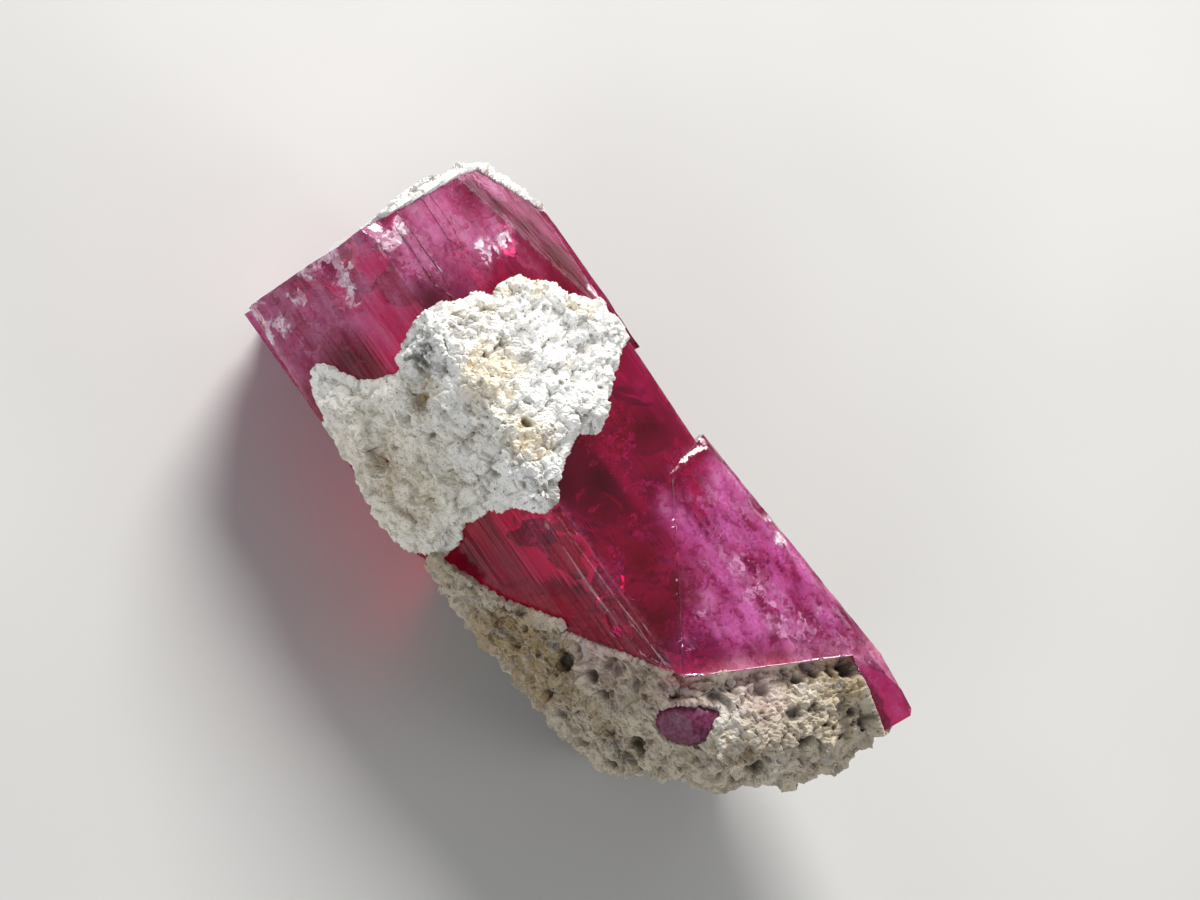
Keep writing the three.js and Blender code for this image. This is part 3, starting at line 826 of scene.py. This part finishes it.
print(len(DARK_MARKS), "dark marks and", len(PALE_AND_HIGHLIGHT_MARKS), "pale ones")

# %% [markdown]
# The crystal's relief is low. Its growth lines are a few thousandths of a millimetre deep: enough to
# bend a reflection. The cloudy faces are dimpled, and edges that have knocked against things are
# chipped a little. The growth step and the terraces of the solid are lowered too, because at their
# full height they mirror the dark side of the room and show as black lines.

# %% Relief of the crystal
SURFACE_DROP = 0.016  # mm that the faces are taken in, to make room for the relief
TERRACE_CUT = 0.75  # share by which the growth terraces of the solid are lowered
TERRACES = (0.004, 0.09)  # mm above a prism face, between which a point belongs to a terrace
STEP_CUT = 0.99  # share by which the growth step is lowered at its corner
STEP_CORNER = (0.34, 1.62)  # mm along and across, where the growth step turns down the face
STEP_SLOPE = (0.535, 0.845)  # the direction, along and across, in which the step comes up from there
STEP_FADE = 0.55  # mm over which it does so


def step_place(points):
    """How far points lie from the growth step's second edge, in mm, towards its full height."""
    along, across, _ = own_places(points).T
    return (along - STEP_CORNER[0]) * STEP_SLOPE[0] + (across - STEP_CORNER[1]) * STEP_SLOPE[1]


def relief(points, cloudy, knob, from_edge):
    """How far each point of the crystal's faces stands out, in mm."""
    stretched = points * np.array([0.06, 1, 1])
    lines = swells(stretched, 0.16, 301) + 0.6 * swells(stretched, 0.07, 302)
    waves = swells(points, 1.4, 303)
    dimples = 0.6 * swells(points, 0.28, 306) + 0.4 * swells(points, 0.13, 307)
    chips = ramp(swells(points, 0.16, 308) + 0.7 * swells(points, 0.5, 309), 0.1, 0.9)
    chips *= (1 - ramp(from_edge, 0, 0.07)) * (1 - ramp(beyond_break(points), -0.15, -0.05))
    rough = 0.01 * np.maximum(cloudy, knob) * dimples
    return rough - 0.003 * lines - 0.003 * waves - 0.02 * chips - SURFACE_DROP


def lower_steps(points):
    """Points in mm, with the growth step and the terraces lowered."""
    points = points.copy()
    raised = ramp(points[:, 2] - 2 * HALF, 0.02, 0.05) * ramp(own_places(points)[:, 0], 0.2, 0.3)
    fade = 1 - ramp(step_place(points), 0.0, STEP_FADE)
    points[:, 2] -= STEP_CUT * GROWTH_LAYER * raised * fade * fade * (3 - 2 * fade)
    for turn in (0, 60):
        height = points @ np.array(around(turn)) - around(turn).z * HALF - HALF
        terrace = (height > TERRACES[0]) & (height < TERRACES[1]) & (raised == 0)
        points -= np.outer(np.where(terrace, TERRACE_CUT * height, 0), around(turn))
    return points


def crystal_mesh():
    """The crystal's mesh in mm, with its relief, its zones and its cracks."""
    mesh = cut_mesh("beryl_crystal")
    solid = points_of(mesh)
    shares = zones(solid)
    from_edge = edge_distance(CRYSTAL, solid)
    height = relief(solid, shares["cloudy"], shares["knob"], from_edge)
    points = lower_steps(solid)
    set_points(mesh, stay_in_box(points + points_of(mesh, "normal") * height[:, None]))
    for name, share in shares.items():
        remember(mesh, name, share)
    on_step = (np.abs(step_place(solid)) < 0.1) & (own_places(solid)[:, 0] > STEP_CORNER[0])
    from_edge = np.where(on_step, 1, from_edge)
    worn = (1 - ramp(from_edge, 0.0, EDGE_REACH)) * (1 - ramp(beyond_break(solid), -0.15, -0.05))
    remember(mesh, "edge", worn)
    remember(mesh, "dark", spots(points, DARK_MARKS))
    # The pale share is frosting and painted highlight in one.
    remember(mesh, "pale", ramp(spots(points, PALE_AND_HIGHLIGHT_MARKS) + 0.35 * octaves(points, 0.16, 3, 340), 0.1, 0.7))
    remember(mesh, "windows", ramp(octaves(points * np.array([0.45, 1, 1]), 0.24, 3, 310), -0.4, 0.4))
    remember(mesh, "veil", ramp(octaves(points, 0.9, 4, 320), -0.3, 0.35))
    remember(mesh, "patchy", ramp(octaves(points, 0.55, 4, 330), -0.4, 0.3))
    work = bmesh.new()
    work.from_mesh(mesh)
    add_cracks(work)
    work.to_mesh(mesh)
    work.free()
    mesh.set_sharp_from_angle(angle=math.radians(14))
    return mesh


# %% [markdown]
# The beryl's finish has two parts. Light that enters is bent by the beryl's index, 1.57, and loses
# green first, then blue, on its way: that is the plain absorption, and it makes thick parts crimson
# and thin ones pink. The rest is scattered near the surface by countless tiny fractures. Where they
# are dense the crystal is cloudy, so the recipe there lets less light in and shows a pale magenta,
# broken up into shards and crumbs, each with a brightness of its own. Lines drawn between them were
# tried first and looked like lace.

# %% Patterns in the beryl
CLEAR = ((0.55, 0.012, 0.1), (0.68, 0.03, 0.25))  # crimson, and where a faint veil lies under the face
PINK = ((0.7, 0.08, 0.29), (0.8, 0.24, 0.52))  # the upper end's, in clear windows and between them
MAGENTA = ((0.43, 0.012, 0.15), (0.67, 0.14, 0.45))  # the cloudy zone's, in the same way
LAYERS = (  # zone or pattern, how much of it covers those before it, colour
    ("streaks", 0.3, (0.8, 0.42, 0.58)),
    ("crumbs", 0.45, (0.36, 0.01, 0.13)),
    ("shattered", 0.6, (0.8, 0.46, 0.68)),
    ("dark", 0.9, (0.17, 0.003, 0.025)),
    ("rim", 0.75, (0.74, 0.3, 0.45)),
    # The pale layer is frosting and painted highlight in one.
    ("pale", 1.0, (0.97, 0.84, 0.95)),
    ("knob", 1.0, (0.12, 0.004, 0.035)),
    ("rough_knob", 0.35, (0.5, 0.14, 0.33)),
    ("worn", 0.3, (0.8, 0.45, 0.6)),
)
BROKEN = (0.46, 0.012, 0.09)
CLEAREST = 0.92  # share of light that is let through where the crystal is clear
CLOUDIEST = 0.1  # and where it is cloudiest
BERYL_INDEX = 1.57
ABSORPTION_COLOUR = (0.94, 0.1, 0.55)
ABSORPTION_DENSITY = 450  # for each metre


def beryl_patterns(beryl):
    """Shares from 0 to 1 over the crystal: its zones, and the patterns that break them up."""
    names = ("cloudy", "upper", "broken", "knob", "edge", "dark", "veil", "patchy", "pale", "rim")
    share = {name: beryl.attribute(name) for name in names}
    fine = beryl.noise(0.06, 3.0)
    grainy = beryl.ramp(fine, 0.38, 0.66)
    flecks = beryl.ramp(fine, 0.5, 0.68)
    along = beryl.scaled(beryl.place, (0.12, 1.0, 1.0))
    streaks = beryl.ramp(beryl.noise(0.1, 3.0, 0.2, along), 0.5, 0.7)
    share["streaks"] = beryl.product(share["upper"], streaks)
    bent = beryl.warped(0.12, 0.06)
    shards = beryl.cells(0.15, beryl.scaled(bent, (0.6, 1.0, 1.0)))
    crumbs = beryl.cells(0.065, bent)
    windows = beryl.maths("ADD", beryl.attribute("windows"), beryl.ramp(crumbs, 0.0, 1.0, -0.3, 0.3))
    share["windows"] = beryl.ramp(windows, 0.05, 0.95)
    share["hazy"] = beryl.larger(share["cloudy"], beryl.product(share["upper"], 0.75))
    share["crumbs"] = beryl.product(share["hazy"], beryl.ramp(crumbs, 0.55, 1.0))
    shattered = beryl.product(beryl.ramp(shards, 0.5, 0.95), beryl.ramp(crumbs, 0.0, 1.0, 0.3, 1.0))
    shattered = beryl.larger(shattered, beryl.product(flecks, 0.45))
    patchy = beryl.larger(share["patchy"], beryl.product(share["upper"], 0.8))
    share["shattered"] = beryl.product(patchy, beryl.product(share["hazy"], shattered))
    share["rim"] = beryl.product(share["rim"], beryl.ramp(share["windows"], 0.0, 1.0, 0.4, 1.0))
    # Pale: frosting and painted highlights, broken up by the shards and crumbs.
    pale = beryl.product(share["pale"], beryl.ramp(shards, 0.2, 0.7))
    share["pale"] = beryl.product(beryl.ramp(pale, 0.2, 0.45), beryl.ramp(crumbs, 0.0, 1.0, 0.35, 1.0))
    share["worn"] = beryl.product(share["edge"], grainy)
    share["rough_knob"] = beryl.product(share["knob"], grainy)
    return share


# %% Beryl finish


def beryl_colour(beryl, share):
    """The colours of the zones, laid over each other from the widest to the smallest."""
    colour = beryl.blend(share["veil"], *CLEAR)
    colour = beryl.blend(share["broken"], colour, BROKEN)
    pink = beryl.blend(share["windows"], *PINK)
    colour = beryl.blend(beryl.product(share["upper"], 0.9), colour, pink)
    colour = beryl.blend(share["cloudy"], colour, beryl.blend(share["windows"], *MAGENTA))
    for name, amount, tint in LAYERS:
        colour = beryl.blend(beryl.product(share[name], amount), colour, tint)
    return colour


def milkiness(beryl, share):
    """How much of the light is scattered at the surface instead of let in."""
    milky = beryl.product(share["hazy"], beryl.ramp(share["windows"], 0.0, 1.0, 0.22, 0.72))
    milky = beryl.product(milky, beryl.ramp(share["dark"], 0.0, 1.0, 1.0, 0.3))
    worn = beryl.product(share["worn"], 0.25)
    rim = beryl.product(share["rim"], 0.8)
    # The pale marks, partly painted highlights, let little light in.
    for other in (share["knob"], worn, share["shattered"], share["pale"], rim):
        milky = beryl.larger(milky, other)
    return milky


beryl = Recipe("red_beryl")
share = beryl_patterns(beryl)
milky = milkiness(beryl, share)
smoothness_lost = beryl.larger(beryl.product(share["veil"], 0.3), share["knob"])
growth_lines = beryl.noise(0.06, 2.0, 0.0, beryl.scaled(beryl.place, (0.03, 1.0, 1.0)))
beryl.set(Base_Color=beryl_colour(beryl, share))
beryl.set(Transmission_Weight=beryl.ramp(milky, 0.0, 1.0, CLEAREST, CLOUDIEST))
beryl.set(Roughness=beryl.ramp(smoothness_lost, 0.0, 1.0, 0.06, 0.4))
beryl.set(IOR=BERYL_INDEX)
beryl.bump(growth_lines, 0.004)
absorption = beryl.add("VolumeAbsorption", None, Color=ABSORPTION_COLOUR, Density=ABSORPTION_DENSITY)
output = beryl.tree.nodes["Material Output"]
beryl.feed(output.inputs["Volume"], absorption.outputs["Volume"])
finished("beryl_body", crystal_mesh(), beryl.material, "beryl", "beryl_crystal")

# %% [markdown]
# ## Veils inside the beryl
# Healed cracks leave curved sheets of tiny flat inclusions. They are what catches the light inside
# the crystal, so they are modelled as thousands of thin flakes. Each lies wholly in the beryl: the
# ones just under a face show nearly white, and the deeper ones take on the red.

# %% Veils of flakes
VEILS = (  # pixel in the middle, depth, radius, tilt in degrees, swing in degrees, flakes
    ((325, 262), 0.08, 0.45, 25, 20, 420), ((345, 285), 0.1, 0.35, 60, 80, 260),
    ((392, 232), 0.08, 0.35, 50, 110, 260), ((290, 310), 0.12, 0.5, 30, 40, 300),
    ((250, 318), 0.1, 0.4, 20, 10, 260), ((490, 255), 0.15, 0.4, 40, 60, 320),
    ((455, 215), 0.2, 0.5, 70, 125, 200), ((600, 292), 0.06, 0.3, 15, 30, 260),
    ((345, 345), 0.5, 0.6, 50, 60, 200), ((622, 430), 0.6, 0.6, 60, 30, 200),
    ((665, 500), 0.5, 0.6, 50, 160, 260), ((700, 470), 0.2, 0.45, 60, 100, 320),
    ((745, 515), 0.12, 0.5, 35, 20, 420), ((782, 538), 0.05, 0.3, 20, 50, 300),
    ((715, 560), 0.3, 0.6, 55, 70, 420), ((770, 590), 0.15, 0.5, 45, 140, 380),
    ((700, 620), 0.2, 0.5, 60, 20, 320), ((760, 640), 0.15, 0.5, 30, 100, 380),
    ((810, 610), 0.1, 0.45, 40, 60, 320), ((690, 650), 0.08, 0.3, 30, 150, 200),
    ((520, 545), 0.7, 0.6, 60, 100, 160), ((595, 590), 0.5, 0.5, 50, 40, 160),
)
BUBBLE = ((622, 464), 0.06, 0.17, 70)  # pixel, depth, radius, flakes
FLAKE_SIZE = (0.014, 0.075)  # mm, half width
FLAKE_REACH = 1.9  # times its size that a flake's longest corner reaches
FLAKE_THICKNESS = 0.12  # times its size that a flake's middle lies above and below its rim
CHIP_DEPTH = 0.04  # mm, the deepest that the crystal's surface is worn
RIM_CORNERS = 5


def depth_below_surface(points):
    """How deep points lie in the beryl, in mm, and below zero outside it."""
    depths = np.zeros(len(points))
    for index, point in enumerate(points):
        place, normal, _, away = CRYSTAL_TREE.find_nearest(Vector(point))
        depths[index] = -math.copysign(away, (Vector(point) - place).dot(normal))
    return depths


def veil_places(draw, pixel, depth, radius, tilt, swing, count):
    """Places on a ragged, gently curved sheet below a face, and the directions they face."""
    middle, outwards = under(pixel, depth + 0.02)
    side = LONG.cross(outwards).normalized()
    normal = Matrix.Rotation(math.radians(tilt), 3, side) @ outwards
    normal = Matrix.Rotation(math.radians(swing), 3, outwards) @ normal
    first = normal.orthogonal().normalized()
    second = normal.cross(first)
    angle = draw.uniform(0, 2 * math.pi, 3 * count)
    reach = radius * np.sqrt(draw.uniform(0, 1, 3 * count))
    u = reach * np.cos(angle)
    v = reach * np.sin(angle)
    lift = 0.25 * (u * u - v * v) / radius + draw.normal(0, 0.015, 3 * count)
    flat = np.outer(u, first) + np.outer(v, second) + np.outer(lift, normal)
    points = np.array(middle) + flat
    dense = swells(points, 0.16, 401) + 0.5 * swells(points, 0.07, 402) > -0.05
    points = points[dense][:count]
    return points, np.tile(np.array(normal), (len(points), 1))


def flake_mesh(places, facings, sizes, draw):
    """One mesh of thin flakes, each a flattened double pyramid on a ragged five-sided rim."""
    count = len(places)
    facings = facings + draw.normal(0, 0.45, (count, 3))
    facings /= np.linalg.norm(facings, axis=1, keepdims=True)
    helper = np.where(np.abs(facings[:, :1]) < 0.8, [[1.0, 0, 0]], [[0, 1.0, 0]])
    first = np.cross(facings, helper)
    first /= np.linalg.norm(first, axis=1, keepdims=True)
    second = np.cross(facings, first)
    stretch = draw.uniform(0.5, 1.6, (count, 1))
    corners = []
    for corner in range(RIM_CORNERS):
        angle = 2 * math.pi * corner / RIM_CORNERS + draw.uniform(-0.4, 0.4, (count, 1))
        reach = sizes[:, None] * draw.uniform(0.6, 1.2, (count, 1))
        corners.append(places + reach * (np.cos(angle) * first * stretch + np.sin(angle) * second))
    thin = FLAKE_THICKNESS * sizes[:, None]
    corners.append(places + thin * facings)
    corners.append(places - thin * facings)
    points = np.stack(corners, axis=1).reshape(-1, 3)
    pattern = []
    for corner in range(RIM_CORNERS):
        after = (corner + 1) % RIM_CORNERS
        pattern.append((corner, after, RIM_CORNERS))
        pattern.append((after, corner, RIM_CORNERS + 1))
    starts = (RIM_CORNERS + 2) * np.arange(count)[:, None, None]
    faces = (np.array(pattern)[None] + starts).reshape(-1, 3)
    mesh = bpy.data.meshes.new("flakes")
    mesh.from_pydata(points.tolist(), [], faces.tolist())
    mesh.update()
    return mesh


def ring_places(draw, pixel, depth, radius, count):
    """Places round a small gas bubble below a face, and the directions they face."""
    middle, outwards = under(pixel, depth)
    first = outwards.orthogonal().normalized()
    second = outwards.cross(first)
    angle = draw.uniform(0, 2 * math.pi, count)
    reach = radius * (1 + 0.15 * np.sin(3 * angle) + draw.normal(0, 0.07, count))
    points = np.outer(reach * np.cos(angle), first) + np.outer(reach * np.sin(angle), second)
    return points + np.array(middle), np.tile(np.array(outwards), (count, 1))


def veils():
    """The mesh of all the flakes. Flakes with too little beryl over them are made smaller or dropped."""
    draw = np.random.default_rng(7)
    sheets = [ring_places(draw, *BUBBLE)] + [veil_places(draw, *veil) for veil in VEILS]
    places, facings = (np.concatenate(arrays) for arrays in zip(*sheets))
    sizes = FLAKE_SIZE[0] + (FLAKE_SIZE[1] - FLAKE_SIZE[0]) * draw.uniform(0, 1, len(places)) ** 2.5
    sizes = np.minimum(sizes, (depth_below_surface(places) - CHIP_DEPTH) / FLAKE_REACH)
    kept = sizes > 0.4 * FLAKE_SIZE[0]
    return flake_mesh(places[kept], facings[kept], sizes[kept], draw)


FLAKE_COLOURS = ((0.95, 0.62, 0.8), (0.97, 0.86, 0.94))
flake = Recipe("healed_cracks")
flake.set(Base_Color=flake.blend(flake.ramp(flake.cells(0.08), 0.1, 0.9), *FLAKE_COLOURS))
flake.set(Roughness=flake.ramp(flake.cells(0.05), 0.0, 1.0, 0.12, 0.5))
finished("beryl_veils", veils(), flake.material, "beryl")
